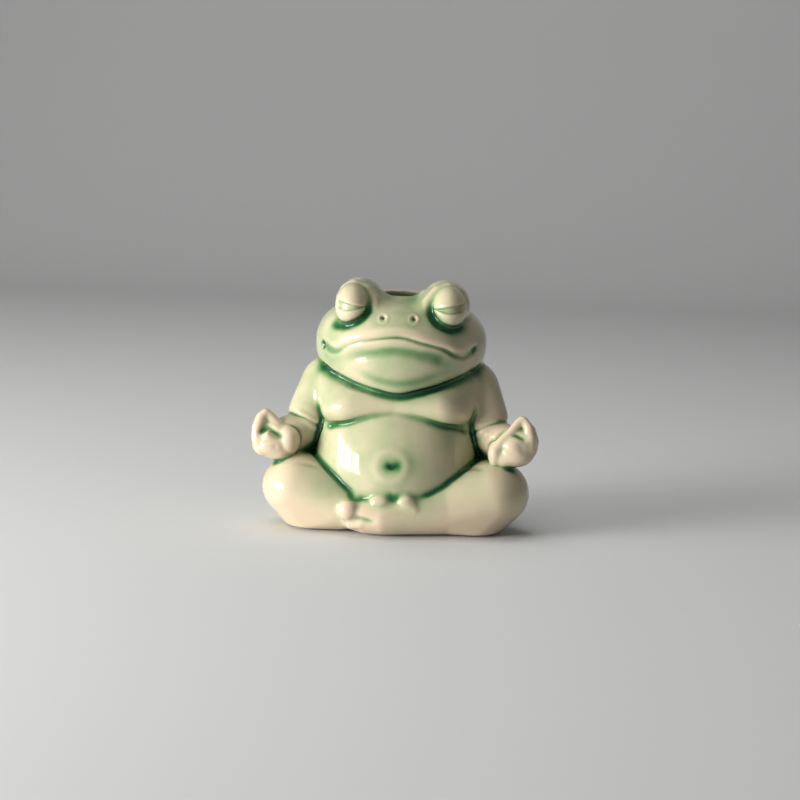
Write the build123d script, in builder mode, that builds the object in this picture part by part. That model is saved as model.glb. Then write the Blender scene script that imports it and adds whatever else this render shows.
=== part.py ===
from build123d import *
import os
from math import cos, pi, sin

# A cross-legged ceramic frog, open at the crown of its head, as the clay pieces that are luted together
# before firing. Millimetres. It sits on Z = 0 and faces -Y, and its own left is +X.

# Facets: how finely the hand-shaped forms are cut, as sides around and bands from pole to pole
ring_sides = 28
large = (18, 9)
small = (12, 6)
overrun = 6.0

# Trunk: a hollow cast body from the seat to the nape
trunk_width = 52.0
trunk_depth = 57.5
trunk_height = 53.0
wall = 3.4
floor_thickness = 4.0

# Each trunk ring: its height, half width, and reach to the front and to the back
trunk_ring_shares = (
    (0.00, 0.400, 0.260, 0.430),
    (0.10, 0.455, 0.375, 0.495),
    (0.25, 0.490, 0.466, 0.522),
    (0.40, 0.500, 0.470, 0.515),
    (0.53, 0.498, 0.432, 0.480),
    (0.66, 0.480, 0.372, 0.430),
    (0.79, 0.450, 0.300, 0.357),
    (0.91, 0.390, 0.220, 0.270),
    (1.00, 0.270, 0.120, 0.148),
)

# Chest: two folds that hang over the belly and meet at the breastbone
fold_width = 21.2
fold_depth = 28.0
fold_height = 14.8
fold_lean = 12.0
fold_place_share = (0.256, -0.146, 0.717)
breastbone_thickness = 10.0
breastbone_place_share = (0.000, -0.275, 0.772)

# Navel: a low round swell with a pit in it
navel_swell_width = 10.0
navel_swell_rise = 0.8
navel_pit_width = 4.0
navel_pit_depth = 2.4
navel_place_share = (0.000, -0.468, 0.406)

# Head: a hollow cast head that sits in the neck seat
head_width = 52.4
head_depth = 46.5
head_height = 30.5
neck_overlap = 12.0
neck_bore = 15.0

# Each head ring: its height, half width, and reach to the front and to the back
head_ring_shares = (
    (0.00, 0.130, 0.400, 0.040),
    (0.10, 0.310, 0.470, 0.250),
    (0.23, 0.448, 0.510, 0.375),
    (0.36, 0.488, 0.520, 0.430),
    (0.525, 0.500, 0.542, 0.452),
    (0.69, 0.477, 0.529, 0.447),
    (0.82, 0.410, 0.462, 0.398),
    (0.934, 0.315, 0.344, 0.323),
    (1.00, 0.229, 0.226, 0.237),
)

# Brows: a swelling over each eye that slopes in to the crown
brow_width = 15.2
brow_depth = 19.0
brow_height = 16.6
brow_place_share = (0.254, -0.140, 0.905)
saddle_thickness = 13.0
saddle_place_share = (0.130, -0.080, 0.780)

# Nose ridges: one runs down from the inner side of each brow to the nostril
ridge_top_thickness = 9.6
ridge_end_thickness = 6.8
ridge_top_share = (0.179, -0.202, 0.931)
ridge_end_share = (0.095, -0.404, 0.734)

# Eyes: pellets with half-closed lids, each in a socket that is wider than the pellet in front
eye_width = 9.2
eye_depth = 12.2
eye_height = 12.0
lid_thickness = 0.6
lid_slit = 1.6
lid_slope_share = 0.080
socket_gap = 1.0
eye_place_share = (0.275, -0.299, 0.875)

# Crown mouth, mouth line and nostrils
crown_bore = 13.0
crown_set_back = 1.0
crown_lip = 1.4
lip_groove_width = 1.1
lip_groove_depth = 1.2
nostril_bore = 1.5
nostril_depth = 1.8
nostril_rim = 3.4
nostril_place_share = (0.092, -0.458, 0.805)

# Mouth line from the middle to its corner: half width and height
mouth_line_shares = (
    (0.000, 0.656),
    (0.150, 0.600),
    (0.260, 0.534),
    (0.334, 0.459),
    (0.410, 0.439),
    (0.448, 0.511),
)

# Arms: a sleeve that hangs from the shoulder to a flat hem, and a forearm that comes out of it
shoulder_thickness = 19.0
sleeve_thickness = 12.6
hem_thickness = 12.6
forearm_thickness = 12.0
wrist_thickness = 10.8
wrist_share = 0.620
shoulder_place_share = (0.410, 0.035, 0.790)
sleeve_place_share = (0.527, -0.045, 0.653)
hem_place_share = (0.550, -0.077, 0.592)
elbow_place_share = (0.538, -0.060, 0.565)

# Legs: thighs that rise to a haunch beside the seat, and shins that come in from the knees and cross
leg_spread = 81.4
leg_reach = 30.0
leg_height = 21.7
haunch_thickness = 25.0
haunch_place_share = (0.246, 0.267, 0.622)
thigh_thickness = 19.2
thigh_place_share = (0.338, -0.283, 0.581)
knee_width = 22.4
knee_depth = 27.0
knee_place_share = (0.362, -0.385, 0.535)
knee_print_width = 20.0
knee_print_depth = 22.0
knee_print_share = (0.300, -0.360, 0.000)
calf_thickness = 16.4
calf_place_share = (0.203, -0.595, 0.390)
ankle_thickness = 11.0
ankle_place_shares = {"left": (-0.020, -0.800, 0.285), "right": (0.104, -0.690, 0.340)}

# Feet: a pad that carries two toes, with a web from the pad to the root of each toe
foot_thickness = 9.4
toe_thickness = 5.4
web_thickness = 4.2
toe_root_share = 0.120
pad_place_shares = {"left": (-0.108, -0.830, 0.250), "right": (0.110, -0.740, 0.420)}
toe_place_shares = {
    "left": ((-0.165, -0.915, 0.375), (-0.110, -0.930, 0.200)),
    "right": ((-0.066, -0.880, 0.525), (0.032, -0.880, 0.525)),
}

# Hands: a cupped palm on the knee, a heel, curled fingers, and a thumb and forefinger that meet above them
hand_width = 15.0
hand_depth = 12.0
hand_height = 14.6
hand_press = 1.6
palm_place_share = (0.445, -0.480, 1.000)
heel_width = 6.6
heel_place_share = (-0.340, -0.100, -0.060)
curl_thickness = 5.6
curl_place_shares = ((-0.120, -0.390, -0.020), (0.060, -0.410, 0.040), (0.220, -0.350, -0.020))
finger_thickness = 5.0
thumb_thickness = 4.4
fingertip_thickness = 3.2
forefinger_shares = ((0.340, -0.050, 0.060), (0.330, -0.140, 0.360), (0.165, -0.160, 0.520))
thumb_shares = ((-0.270, -0.080, 0.180), (0.000, -0.150, 0.380), (0.150, -0.160, 0.520))

sides = {"left": 1, "right": -1}
chin_height = trunk_height - neck_overlap
crown_height = chin_height + head_height
trunk_sizes = (trunk_width, trunk_depth, trunk_height)
head_sizes = (head_width, head_depth, head_height)
head_origin = (0, 0, chin_height)
leg_sizes = (leg_spread, leg_reach, leg_height)
hand_sizes = (hand_width, hand_depth, hand_height)
eye_radii = (eye_width / 2, eye_depth / 2, eye_height / 2)
lid_radii = [radius + lid_thickness for radius in eye_radii]


def placed(shares, lengths, side=1, origin=(0, 0, 0)):
    """The point at shares of three lengths from an origin, on the left (1) or mirrored to the right (-1)."""
    across, along, up = [start + share * length for start, share, length in zip(origin, shares, lengths)]
    return Vector(side * across, along, up)


def oval(half_width, front, back, height):
    """Points of a level ring: a half oval in front of the X axis and one behind it."""
    points = []
    for step in range(ring_sides):
        turn = 2 * pi * step / ring_sides
        reach = back if sin(turn) > 0 else front
        points.append(Vector(half_width * cos(turn), reach * sin(turn), height))
    return points


def disc(plane, thickness):
    """Points of a round ring on a plane."""
    return [plane.from_local_coords(point) for point in oval(thickness / 2, thickness / 2, thickness / 2, 0)]


def stack(ring_shares, sizes, base=0, inset=0, foot=0, top=0):
    """Points of a stack of rings. An inset, a foot and a top draw it in to the inside of a hollow body."""
    width, depth, height = sizes
    points = []
    for rise, half, front, back in ring_shares:
        level = base + foot + rise * (height - foot - top)
        points += oval(half * width - inset, front * depth - inset, back * depth - inset, level)
    return points


def ball(centre, radii, lean=0, facets=large):
    """Points of an ellipsoid, band by band from pole to pole, leaning by an angle about the Y axis."""
    around, bands = facets
    tilt = lean * pi / 180
    place = Plane(centre, x_dir=(cos(tilt), 0, -sin(tilt)), z_dir=(sin(tilt), 0, cos(tilt)))
    points = []
    for band in range(bands + 1):
        rise = pi * (band / bands - 0.5)
        for step in range(around if 0 < band < bands else 1):
            turn = 2 * pi * step / around
            across = radii[0] * cos(rise) * cos(turn)
            along = radii[1] * cos(rise) * sin(turn)
            points.append(place.from_local_coords(Vector(across, along, radii[2] * sin(rise))))
    return points


def knob(centre, thickness, facets=large):
    """Points of a round ball."""
    return ball(centre, (thickness / 2, thickness / 2, thickness / 2), 0, facets)


def cut_to(*neighbours):
    """Cut the piece being made to the outer forms of the pieces that it is luted to."""
    for neighbour in neighbours:
        add(neighbour, mode=Mode.SUBTRACT)


def trim_to_floor():
    """Cut the piece being made flat where the frog sits."""
    split(bisect_by=Plane.XY, keep=Keep.TOP)


def finish(piece, name):
    """Label a finished piece and write it to its own file."""
    piece.part.label = name
    export_step(piece.part, f"parts/{name}.step")


# Outer forms: the whole shape of each piece, before its neighbours are cut out of it
with BuildPart() as trunk_form:
    ConvexPolyhedron(stack(trunk_ring_shares, trunk_sizes))
    breastbone = placed(breastbone_place_share, trunk_sizes)
    for side in sides.values():
        fold = placed(fold_place_share, trunk_sizes, side)
        fold_points = ball(fold, (fold_width / 2, fold_depth / 2, fold_height / 2), side * fold_lean)
        ConvexPolyhedron(fold_points + knob(breastbone, breastbone_thickness))

with BuildPart() as head_form:
    ConvexPolyhedron(stack(head_ring_shares, head_sizes, chin_height))
    for side in sides.values():
        brow = placed(brow_place_share, head_sizes, side, head_origin)
        saddle = placed(saddle_place_share, head_sizes, side, head_origin)
        brow_points = ball(brow, (brow_width / 2, brow_depth / 2, brow_height / 2))
        ConvexPolyhedron(brow_points + knob(saddle, saddle_thickness))
        ridge_top = placed(ridge_top_share, head_sizes, side, head_origin)
        ridge_end = placed(ridge_end_share, head_sizes, side, head_origin)
        ridge_end_points = knob(ridge_end, ridge_end_thickness, small)
        ConvexPolyhedron(knob(ridge_top, ridge_top_thickness, small) + ridge_end_points)


def upper_arm_form(side):
    """A tapered sleeve from the shoulder, cut off flat at its hem."""
    shoulder = placed(shoulder_place_share, trunk_sizes, side)
    sleeve = placed(sleeve_place_share, trunk_sizes, side)
    hem = Plane(placed(hem_place_share, trunk_sizes, side), z_dir=sleeve - shoulder)
    with BuildPart() as form:
        ConvexPolyhedron(knob(shoulder, shoulder_thickness) + knob(sleeve, sleeve_thickness))
        ConvexPolyhedron(knob(sleeve, sleeve_thickness) + disc(hem, hem_thickness))
        split(bisect_by=hem, keep=Keep.BOTTOM)
    return form.part


def palm_centre(side):
    """The middle of the palm, pressed on the top of the knee."""
    return placed(palm_place_share, leg_sizes, side) + Vector(0, 0, hand_height / 2 - hand_press)


def forearm_form(side):
    """A short coil from inside the sleeve to the back of the hand."""
    elbow = placed(elbow_place_share, trunk_sizes, side)
    wrist = elbow + (palm_centre(side) - elbow) * wrist_share
    with BuildPart() as form:
        ConvexPolyhedron(knob(elbow, forearm_thickness) + knob(wrist, wrist_thickness))
    return form.part


def hand_form(side):
    """A pressed hand, with the fingers curled over the palm and the thumb and forefinger in a ring."""
    palm = palm_centre(side)
    origin = (side * palm.X, palm.Y, palm.Z)
    heel = placed(heel_place_share, hand_sizes, side, origin)
    fingers = ((forefinger_shares, finger_thickness), (thumb_shares, thumb_thickness))
    with BuildPart() as form:
        ConvexPolyhedron(ball(palm, (hand_width / 2, hand_depth / 2, hand_height / 2)))
        ConvexPolyhedron(ball(heel, (heel_width / 2, hand_depth / 3, hand_height / 3), 0, small))
        for curl_share in curl_place_shares:
            ConvexPolyhedron(knob(placed(curl_share, hand_sizes, side, origin), curl_thickness, small))
        for joint_shares, root_thickness in fingers:
            root, knuckle, tip = [placed(share, hand_sizes, side, origin) for share in joint_shares]
            knuckle_points = knob(knuckle, (root_thickness + fingertip_thickness) / 2, small)
            ConvexPolyhedron(knob(root, root_thickness, small) + knuckle_points)
            ConvexPolyhedron(knuckle_points + knob(tip, fingertip_thickness, small))
    return form.part


def thigh_form(side):
    """A coil from the haunch, which stands up beside the seat, to under the knee."""
    haunch = placed(haunch_place_share, leg_sizes, side)
    thigh_end = placed(thigh_place_share, leg_sizes, side)
    with BuildPart() as form:
        ConvexPolyhedron(knob(haunch, haunch_thickness) + knob(thigh_end, thigh_thickness))
        trim_to_floor()
    return form.part


def shin_form(name):
    """A knee that stands on its own flat print and runs on into the calf, which tapers to the ankle."""
    side = sides[name]
    knee = placed(knee_place_share, leg_sizes, side)
    calf = placed(calf_place_share, leg_sizes, side)
    ankle = placed(ankle_place_shares[name], leg_sizes, side)
    knee_print = placed(knee_print_share, leg_sizes, side)
    print_ring = oval(knee_print_width / 2, knee_print_depth / 2, knee_print_depth / 2, 0)
    print_points = [point + knee_print for point in print_ring]
    knee_points = ball(knee, (knee_width / 2, knee_depth / 2, leg_height - knee.Z))
    with BuildPart() as form:
        ConvexPolyhedron(knee_points + print_points + knob(calf, calf_thickness))
        ConvexPolyhedron(knob(calf, calf_thickness) + knob(ankle, ankle_thickness))
        trim_to_floor()
    return form.part


def foot_form(name):
    """A foot from the ankle to its pad, with webs and toes in front of the pad."""
    side = sides[name]
    ankle = placed(ankle_place_shares[name], leg_sizes, side)
    pad = placed(pad_place_shares[name], leg_sizes, side)
    with BuildPart() as form:
        ConvexPolyhedron(knob(ankle, foot_thickness) + knob(pad, foot_thickness))
        for toe_share in toe_place_shares[name]:
            tip = placed(toe_share, leg_sizes, side)
            root = tip + (pad - tip) * toe_root_share
            ConvexPolyhedron(knob(pad, web_thickness, small) + knob(root, web_thickness, small))
            ConvexPolyhedron(knob(root, toe_thickness, small) + knob(tip, toe_thickness, small))
        trim_to_floor()
    return form.part


upper_arm_forms = {name: upper_arm_form(side) for name, side in sides.items()}
forearm_forms = {name: forearm_form(side) for name, side in sides.items()}
thigh_forms = {name: thigh_form(side) for name, side in sides.items()}
shin_forms = {name: shin_form(name) for name in sides}
foot_forms = {name: foot_form(name) for name in sides}

os.makedirs("parts", exist_ok=True)

# Trunk: hollow over a closed floor and open at the neck, with the navel in its belly
navel = placed(navel_place_share, trunk_sizes)
with BuildPart() as trunk:
    add(trunk_form.part)
    navel_swell = ball(navel, (navel_swell_width / 2, navel_swell_rise, navel_swell_width / 2))
    navel_pit = ball(navel, (navel_pit_width / 2, navel_pit_depth, navel_pit_width / 2))
    ConvexPolyhedron(navel_swell)
    ConvexPolyhedron(navel_pit, mode=Mode.SUBTRACT)
    trunk_chamber = stack(trunk_ring_shares, trunk_sizes, 0, wall, floor_thickness, 2 * wall)
    ConvexPolyhedron(trunk_chamber, mode=Mode.SUBTRACT)
    cut_to(head_form.part)
finish(trunk, "trunk")

# Mouth line: a band across the front of the head, only as deep as its groove
mouth_half = [placed((across, 0, up), head_sizes, 1, head_origin) for across, up in mouth_line_shares]
mouth_line = [(-point.X, point.Z) for point in reversed(mouth_half[1:])]
mouth_line += [(point.X, point.Z) for point in mouth_half]
upper_lip = [(across, up + lip_groove_width / 2) for across, up in mouth_line]
lower_lip = [(across, up - lip_groove_width / 2) for across, up in reversed(mouth_line)]
with BuildPart() as mouth_groove:
    with BuildSketch(Plane.XZ):
        with BuildLine():
            Polyline(*upper_lip, *lower_lip, close=True)
        make_face()
    extrude(amount=head_depth)
    groove_floor = stack(head_ring_shares, head_sizes, chin_height, lip_groove_depth)
    ConvexPolyhedron(groove_floor, mode=Mode.SUBTRACT)

# Head: hollow, with eye sockets, nostrils, the mouth line, the crown mouth and the neck bore
nostril = placed(nostril_place_share, head_sizes, 1, head_origin)
head_chamber = stack(head_ring_shares[1:5], head_sizes, chin_height, wall, wall, wall)
crown_funnel = disc(Plane.XY.offset(crown_height - 2 * wall), crown_bore)
with BuildPart() as head:
    add(head_form.part)
    for side in sides.values():
        ConvexPolyhedron(knob(Vector(side * nostril.X, nostril.Y, nostril.Z), nostril_rim, small))
        eye = placed(eye_place_share, head_sizes, side, head_origin)
        ConvexPolyhedron(ball(eye, lid_radii), mode=Mode.SUBTRACT)
        socket_radii = [radius + socket_gap for radius in lid_radii]
        ConvexPolyhedron(ball(eye - Vector(0, socket_gap, 0), socket_radii), mode=Mode.SUBTRACT)
    with BuildSketch(Plane.XZ.offset(overrun - nostril.Y)):
        with Locations((-nostril.X, nostril.Z), (nostril.X, nostril.Z)):
            Circle(nostril_bore / 2)
    extrude(amount=-overrun - nostril_depth, mode=Mode.SUBTRACT)
    cut_to(mouth_groove.part)
    ConvexPolyhedron(head_chamber + crown_funnel, mode=Mode.SUBTRACT)
    with BuildSketch(Plane((0, crown_set_back, crown_height))):
        Circle(crown_bore / 2 + crown_lip)
    extrude(amount=overrun, mode=Mode.SUBTRACT)
    with BuildSketch(Plane((0, crown_set_back, crown_height))):
        Circle(crown_bore / 2)
    extrude(amount=-3 * wall, mode=Mode.SUBTRACT)
    with BuildSketch(Plane.XY.offset(chin_height - overrun)):
        Circle(neck_bore / 2)
    extrude(amount=overrun + 3 * wall, mode=Mode.SUBTRACT)
finish(head, "head")

for name, side in sides.items():
    eye = placed(eye_place_share, head_sizes, side, head_origin)
    with BuildPart() as lid_opening:
        with BuildSketch(Plane(eye, x_dir=(1, 0, side * lid_slope_share), z_dir=(0, -1, 0))):
            Rectangle(2 * eye_width, lid_slit)
        extrude(amount=eye_depth)
        ConvexPolyhedron(ball(eye, eye_radii), mode=Mode.SUBTRACT)
    with BuildPart() as eye_pellet:
        ConvexPolyhedron(ball(eye, lid_radii))
        cut_to(lid_opening.part)
    finish(eye_pellet, f"{name}_eye")

    with BuildPart() as upper_arm:
        add(upper_arm_forms[name])
        cut_to(trunk_form.part, head_form.part)
    finish(upper_arm, f"{name}_upper_arm")

    with BuildPart() as forearm:
        add(forearm_forms[name])
        cut_to(upper_arm_forms[name], trunk_form.part, thigh_forms[name], shin_forms[name])
    finish(forearm, f"{name}_forearm")

    with BuildPart() as hand:
        add(hand_form(side))
        cut_to(forearm_forms[name], thigh_forms[name], shin_forms[name])
    finish(hand, f"{name}_hand")

    with BuildPart() as thigh:
        add(thigh_forms[name])
        cut_to(trunk_form.part, shin_forms[name])
    finish(thigh, f"{name}_thigh")

# Crossed shins and feet: the left leg lies in front, and the right one is cut to it
with BuildPart() as left_shin:
    add(shin_forms["left"])
    cut_to(trunk_form.part)
finish(left_shin, "left_shin")

with BuildPart() as left_foot:
    add(foot_forms["left"])
    cut_to(trunk_form.part, shin_forms["left"])
finish(left_foot, "left_foot")

with BuildPart() as right_shin:
    add(shin_forms["right"])
    cut_to(trunk_form.part, shin_forms["left"], foot_forms["left"])
finish(right_shin, "right_shin")

with BuildPart() as right_foot:
    add(foot_forms["right"])
    cut_to(trunk_form.part, shin_forms["left"], shin_forms["right"], foot_forms["left"])
finish(right_foot, "right_foot")
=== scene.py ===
import math

import bmesh
import bpy
import numpy as np
from mathutils import Euler, Matrix, Vector


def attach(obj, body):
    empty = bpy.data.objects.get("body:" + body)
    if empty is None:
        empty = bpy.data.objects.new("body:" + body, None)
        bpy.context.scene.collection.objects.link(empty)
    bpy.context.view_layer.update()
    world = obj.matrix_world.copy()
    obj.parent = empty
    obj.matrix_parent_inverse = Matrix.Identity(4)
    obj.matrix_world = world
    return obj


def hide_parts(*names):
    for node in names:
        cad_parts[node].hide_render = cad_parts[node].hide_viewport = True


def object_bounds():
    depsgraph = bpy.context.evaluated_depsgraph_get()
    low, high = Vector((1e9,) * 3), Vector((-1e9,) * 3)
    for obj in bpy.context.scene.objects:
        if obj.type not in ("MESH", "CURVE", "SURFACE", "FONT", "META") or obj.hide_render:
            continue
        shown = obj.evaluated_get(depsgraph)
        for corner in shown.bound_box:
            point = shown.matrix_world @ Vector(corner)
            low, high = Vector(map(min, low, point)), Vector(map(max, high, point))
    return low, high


# A glazed frog that sits cross-legged, open at the crown of its head. It faces -Y, and its own left is +X.
# The clay is formed in millimetres and made metres at the end.
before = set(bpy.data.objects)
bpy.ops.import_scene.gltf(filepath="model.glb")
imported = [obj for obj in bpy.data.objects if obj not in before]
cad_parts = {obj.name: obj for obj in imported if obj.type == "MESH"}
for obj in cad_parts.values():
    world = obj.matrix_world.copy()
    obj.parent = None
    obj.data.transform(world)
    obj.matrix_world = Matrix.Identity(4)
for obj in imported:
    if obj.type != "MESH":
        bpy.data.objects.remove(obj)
cad_low, cad_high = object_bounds()
millimetre = 0.001
sides = {"left": 1, "right": -1}

# Grain of the skin and of the cutters that part it, and how much larger than its piece a cutter is
skin_grain = 0.3
cutter_grain = 0.5
cutter_growth = 0.5

# Points between two stops of a drawn line
path_steps = 24

# Finished meshes: corners nearer than a hair are one, and an edge sharper than the seam angle stays crisp.
# Every piece stays under 200,000 triangles.
hair = 0.004
most_triangles = 190000
seam_angle = math.radians(50)

# Crown mouth, nostrils and neck passage
crown_middle = (0.0, 1.0, 71.5)
crown_radius = 6.5
crown_depth = 16.0
nostrils = {"right": -4.1, "left": 5.0}
nostril_back = -21.0
nostril_height = 65.5
nostril_radius = 0.75
nostril_depth = 4.5
nostril_tilt = math.radians(70)
passage_radius = 7.5
passage_length = 13.0
passage_height = 44.5

# Head: it is turned a little to the frog's left, eyes and all
head_turn = math.radians(2.3)
eye_middle = (14.4, -14.6, 68.5)
eye_radii = (5.4, 7.1, 6.7)
brow_tuck = {"left": 0.2, "right": 0.9}

# Slit between the lids: across from the eye's middle, up from its middle, and into the pellet
slit_start = -4.4
slit_length = 9.3
slit_fade_end = 4.9
slit_level = 0.1
upper_lid_rise = 2.0
lower_lid_drop = 1.5
lid_edge = 0.3
slit_depth = 0.6

# Level rings from the floor up: height, half width, reach to the front and reach to the back
trunk_rings = (
    (0.0, 20.8, 15.0, 24.7),
    (2.0, 22.3, 17.5, 26.6),
    (5.3, 23.8, 21.6, 28.5),
    (9.2, 24.9, 24.9, 29.4),
    (13.2, 25.6, 26.8, 29.9),
    (17.2, 25.9, 27.3, 29.9),
    (21.2, 26.0, 26.9, 29.5),
    (25.0, 25.9, 25.9, 28.6),
    (28.5, 25.6, 24.6, 27.3),
    (32.0, 25.2, 23.0, 25.9),
    (35.5, 24.7, 21.2, 24.2),
    (39.0, 24.0, 19.4, 22.3),
    (42.5, 22.9, 17.0, 20.2),
    (46.0, 21.3, 14.5, 17.5),
    (49.0, 19.0, 12.0, 14.6),
    (52.0, 15.0, 8.5, 10.5),
    (53.0, 12.0, 6.0, 8.0),
)
head_rings = (
    (41.0, 6.0, 18.0, 2.0),
    (42.0, 9.5, 20.0, 5.0),
    (43.5, 14.0, 21.6, 9.5),
    (45.5, 19.0, 22.8, 14.0),
    (48.0, 23.0, 23.6, 17.2),
    (50.5, 25.0, 24.0, 19.0),
    (53.0, 25.9, 24.3, 20.3),
    (56.0, 26.2, 24.9, 21.0),
    (58.5, 26.1, 25.2, 21.1),
    (61.0, 25.4, 24.8, 20.9),
    (63.5, 24.0, 23.6, 20.2),
    (66.0, 21.5, 21.3, 18.6),
    (68.5, 18.0, 17.6, 16.2),
    (70.3, 14.8, 13.6, 13.4),
    (71.4, 12.0, 10.5, 11.0),
)
trunk_chamber = (
    (4.0, 17.4, 11.5, 21.3),
    (8.2, 20.3, 18.2, 25.1),
    (14.55, 22.1, 23.4, 26.6),
    (20.9, 22.6, 23.6, 26.2),
    (26.4, 22.5, 21.4, 24.2),
    (31.9, 21.6, 18.0, 21.3),
    (37.3, 20.0, 13.85, 17.1),
    (42.4, 16.9, 9.25, 12.1),
    (46.2, 10.6, 3.5, 5.1),
)
head_chamber = (
    (46.8, 12.8, 18.5, 8.2),
    (49.85, 20.1, 20.3, 14.0),
    (52.9, 22.2, 20.8, 16.6),
    (56.8, 22.8, 20.8, 17.6),
    (60.5, 16.0, 15.0, 14.0),
    (64.7, 6.5, 6.5, 6.5),
)


# Meshes
def read(items, field, kind, width=1):
    """What each item of a mesh holds in a field, as an array."""
    values = np.empty(len(items) * width, kind)
    items.foreach_get(field, values)
    return values if width == 1 else values.reshape(-1, width)


def places(mesh):
    """The mesh's points as an array."""
    return read(mesh.vertices, "co", np.float32, 3).astype(float)


def facings(mesh):
    """The way that the surface faces at each point."""
    return read(mesh.vertex_normals, "vector", np.float32, 3).astype(float)


def move_to(mesh, points):
    """Put the mesh's points in new places."""
    mesh.vertices.foreach_set("co", points.astype(np.float32).ravel())
    mesh.update()


def new_object(name, bm):
    """An object with the mesh that was built."""
    mesh = bpy.data.meshes.new(name)
    bm.to_mesh(mesh)
    bm.free()
    obj = bpy.data.objects.new(name, mesh)
    bpy.context.scene.collection.objects.link(obj)
    return obj


def joined(name, parts):
    """One object of several lumps."""
    whole = bmesh.new()
    for part in parts:
        lump = bpy.data.meshes.new("lump")
        part.to_mesh(lump)
        part.free()
        whole.from_mesh(lump)
        bpy.data.meshes.remove(lump)
    return new_object(name, whole)


def finished(obj):
    """Turn an object's modifiers into its mesh."""
    depsgraph = bpy.context.evaluated_depsgraph_get()
    mesh = bpy.data.meshes.new_from_object(obj.evaluated_get(depsgraph))
    obj.modifiers.clear()
    old = obj.data
    obj.data = mesh
    bpy.data.meshes.remove(old)
    return obj


def remeshed(obj, grain):
    """Fuse overlapping lumps to one closed skin."""
    fuse = obj.modifiers.new("Fuse", "REMESH")
    fuse.mode = "VOXEL"
    fuse.voxel_size = grain
    fuse.use_smooth_shade = True
    return finished(obj)


def cut(obj, cutter, how):
    """Cut an object with a closed one."""
    knife = obj.modifiers.new("Cut", "BOOLEAN")
    knife.operation = how
    knife.solver = "MANIFOLD"
    knife.object = cutter
    return finished(obj)


def settled(obj, turns):
    """Where the points come to rest after smoothing."""
    level = obj.modifiers.new("Level", "SMOOTH")
    level.factor = 0.5
    level.iterations = turns
    depsgraph = bpy.context.evaluated_depsgraph_get()
    mesh = obj.evaluated_get(depsgraph).to_mesh()
    points = places(mesh)
    obj.evaluated_get(depsgraph).to_mesh_clear()
    obj.modifiers.clear()
    return points


def path(*stops, steps=path_steps):
    """A smooth line through stops, as many points."""
    stops = [np.array(stop, float) for stop in stops]
    ends = [2 * stops[0] - stops[1], *stops, 2 * stops[-1] - stops[-2]]
    line = []
    for a, b, c, d in zip(ends, ends[1:], ends[2:], ends[3:]):
        for step in range(steps):
            t = step / steps
            line.append(0.5 * (2 * b + (c - a) * t + (2 * a - 5 * b + 4 * c - d) * t ** 2
                               + (3 * b - a - 3 * c + d) * t ** 3))
    line.append(stops[-1])
    return np.array(line)


def loop(middle, half_width, half_height, stops=9):
    """A closed oval line of across and up places."""
    turns = np.linspace(0, 6.28, stops)
    return path(*[(middle[0] + half_width * math.cos(turn), middle[1] + half_height * math.sin(turn))
                  for turn in turns])


# Lumps of clay. A ball is its middle, then its radius or its three radii, and then how it leans.
def ball(bm, middle, radii, lean=(0, 0, 0), growth=0.0):
    """An ellipsoid of clay."""
    if not isinstance(radii, tuple):
        radii = (radii, radii, radii)
    radii = [radius + growth for radius in radii]
    turn = Euler([math.radians(angle) for angle in lean])
    place = Matrix.LocRotScale(Vector(middle), turn, Vector(radii))
    fineness = 5 if max(radii) > 4 else 4
    return bmesh.ops.create_icosphere(bm, subdivisions=fineness, radius=1, matrix=place)["verts"]


def hull(*balls, growth=0.0):
    """The skin drawn tight over balls."""
    bm = bmesh.new()
    for one in balls:
        ball(bm, *one, growth=growth)
    bmesh.ops.delete(bm, geom=bm.edges[:], context="EDGES_FACES")
    made = bmesh.ops.convex_hull(bm, input=bm.verts[:])
    spare = {v for v in made["geom_interior"] + made["geom_unused"] if isinstance(v, bmesh.types.BMVert)}
    bmesh.ops.delete(bm, geom=list(spare), context="VERTS")
    bmesh.ops.recalc_face_normals(bm, faces=bm.faces[:])
    return bm


def coil(*balls, growth=0.0):
    """A bent coil: a hull over each two balls that follow each other."""
    return [hull(first, second, growth=growth) for first, second in zip(balls, balls[1:])]


def rings(table, growth=0.0, around=128):
    """A closed form over level rings."""
    bm = bmesh.new()
    last = None
    table = path(*table, steps=4)
    for number, (height, half, front, back) in enumerate(table):
        capped = number in (0, len(table) - 1)
        made = bmesh.ops.create_circle(bm, segments=around, radius=1, cap_ends=capped)["verts"]
        for vert in made:
            reach = back if vert.co.y > 0 else front
            vert.co = Vector((vert.co.x * (half + growth), vert.co.y * (reach + growth), height))
        edges = list(dict.fromkeys(edge for vert in made for edge in vert.link_edges))
        if last:
            bmesh.ops.bridge_loops(bm, edges=last + edges)
        last = edges
    bmesh.ops.recalc_face_normals(bm, faces=bm.faces[:])
    return bm


def drum(bm, middle, radius, length, segments, tilt=0.0):
    """A round bar about its middle, upright where it isn't tilted."""
    place = Matrix.LocRotScale(Vector(middle), Euler((tilt, 0, 0)), None)
    bmesh.ops.create_cone(bm, cap_ends=True, segments=segments, radius1=radius, radius2=radius, depth=length,
                          matrix=place)


def mirrored(balls, side):
    """Balls of the left side, or turned over for the right."""
    return [((side * middle[0], *middle[1:]), *rest) for middle, *rest in balls]


def both(spots):
    """The same spots on the left and on the right."""
    return [((side * middle[0], *middle[1:]), *rest) for middle, *rest in spots for side in sides.values()]


def turned(parts):
    """Lumps of the head, turned with it about the upright axis."""
    turn = Matrix.Rotation(head_turn, 3, "Z")
    for part in parts:
        bmesh.ops.rotate(part, verts=part.verts[:], cent=(0, 0, 0), matrix=turn)
    return parts


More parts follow.
